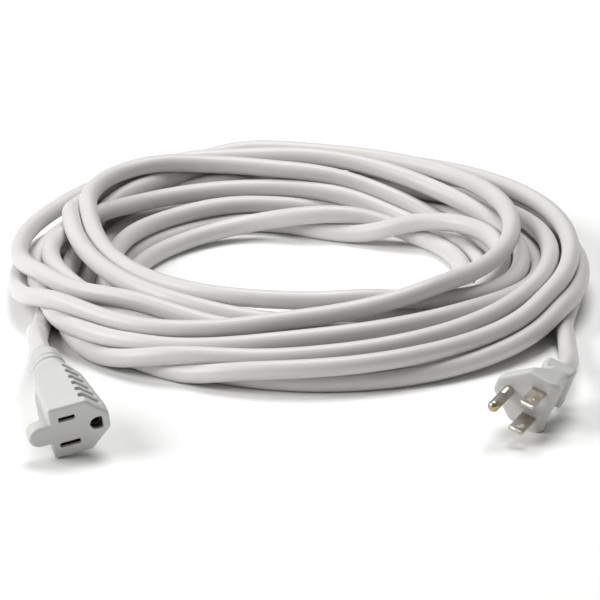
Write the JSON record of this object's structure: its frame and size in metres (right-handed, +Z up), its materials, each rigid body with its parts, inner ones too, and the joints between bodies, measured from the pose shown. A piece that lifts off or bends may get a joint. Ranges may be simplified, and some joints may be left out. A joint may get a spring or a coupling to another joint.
{
  "type": "extension cord",
  "caption": "Coiled round three-conductor extension cord with a moulded grounded plug on one end and a moulded single-outlet connector on the other.",
  "frame": {"origin": "middle of the coil's eye, on the surface that the cord lies on", "axes": "+Z up, the axis of the coil; -Y is the side of the coil where the two ends lie; +X runs from the connector to the plug"},
  "size_m": [0.25, 0.3261, 0.0322],
  "materials": {
    "cord_jacket": "soft satin extruded vinyl, warm white",
    "moulded_housing": "satin moulded vinyl, warm white",
    "inner_block": "moulded nylon, black",
    "contact_brass": "stamped",
    "blade_nickel": "nickel-plated brass, brushed along its length",
    "pin_brass": "nickel-plated brass, brass showing at the tip",
    "copper_strands": "bare bunched copper strands",
    "line_insulation": "satin",
    "neutral_insulation": "satin",
    "ground_insulation": "satin"
  },
  "bodies": {
    "root": {"cord_coil": "cord_jacket", "connector_lead": "cord_jacket", "plug_lead": "cord_jacket", "connector_body": "moulded_housing", "connector_contact_block": "inner_block", "connector_block_cap": "inner_block", "connector_line_contact": "contact_brass", "connector_neutral_contact": "contact_brass", "connector_ground_contact": "contact_brass", "connector_line_insulation": "line_insulation", "connector_neutral_insulation": "neutral_insulation", "connector_ground_insulation": "ground_insulation", "connector_line_core": "copper_strands", "connector_neutral_core": "copper_strands", "connector_ground_core": "copper_strands", "plug_body": "moulded_housing", "plug_blade_bridge": "inner_block", "plug_line_blade": "blade_nickel", "plug_neutral_blade": "blade_nickel", "plug_ground_pin": "pin_brass", "plug_line_insulation": "line_insulation", "plug_neutral_insulation": "neutral_insulation", "plug_ground_insulation": "ground_insulation", "plug_line_core": "copper_strands", "plug_neutral_core": "copper_strands", "plug_ground_core": "copper_strands"}
  },
  "joints": []
}
